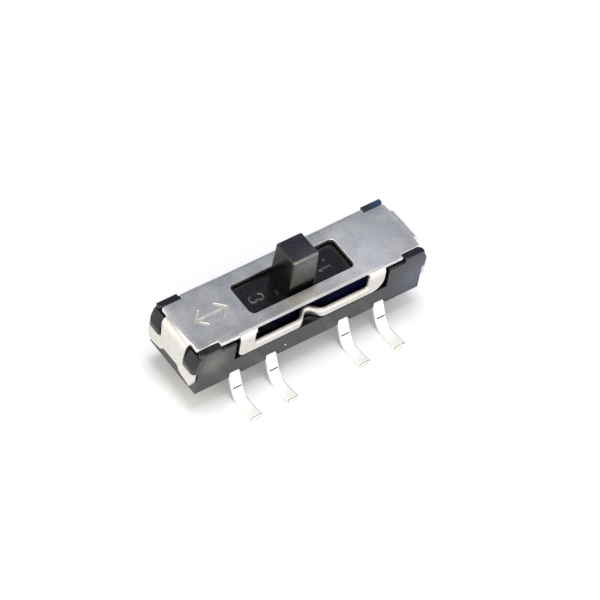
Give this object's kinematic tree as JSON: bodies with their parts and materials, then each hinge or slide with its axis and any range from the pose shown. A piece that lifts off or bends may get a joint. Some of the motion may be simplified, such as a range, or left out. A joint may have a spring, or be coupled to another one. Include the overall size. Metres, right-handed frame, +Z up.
{
  "type": "slide switch",
  "caption": "Sub-miniature surface-mount slide switch with a tall square knob in a windowed sheet-metal cover, spring-arm detents and gull-wing terminals; slides between click positions.",
  "frame": {"origin": "centre of the footprint, on the board surface that the terminals' feet stand on", "axes": "+X along the knob's travel, +Y across the switch towards the back row of terminals, +Z up out of the board"},
  "size_m": [0.013, 0.0074, 0.0057],
  "materials": {
    "housing_plastic": "satin moulded black",
    "cover_steel": "satin rolled sheet",
    "slider_plastic": "fine matt black",
    "contact_bronze": "satin",
    "terminal_silver": "soft silver plating"
  },
  "bodies": {
    "base": {"housing": "housing_plastic", "cover": "cover_steel", "terminal_front_1": "terminal_silver", "terminal_front_2": "terminal_silver", "terminal_front_3": "terminal_silver", "terminal_front_4": "terminal_silver", "terminal_back_1": "terminal_silver", "terminal_back_2": "terminal_silver", "terminal_back_3": "terminal_silver", "terminal_back_4": "terminal_silver"},
    "slider": {"slider": "slider_plastic", "contact_clip_front": "contact_bronze", "contact_clip_back": "contact_bronze"}
  },
  "joints": [
    {"name": "slider_travel", "type": "slide", "parent": "base", "child": "slider", "axis": [1, 0, 0], "range_m": [-0.002, 0.002]}
  ]
}
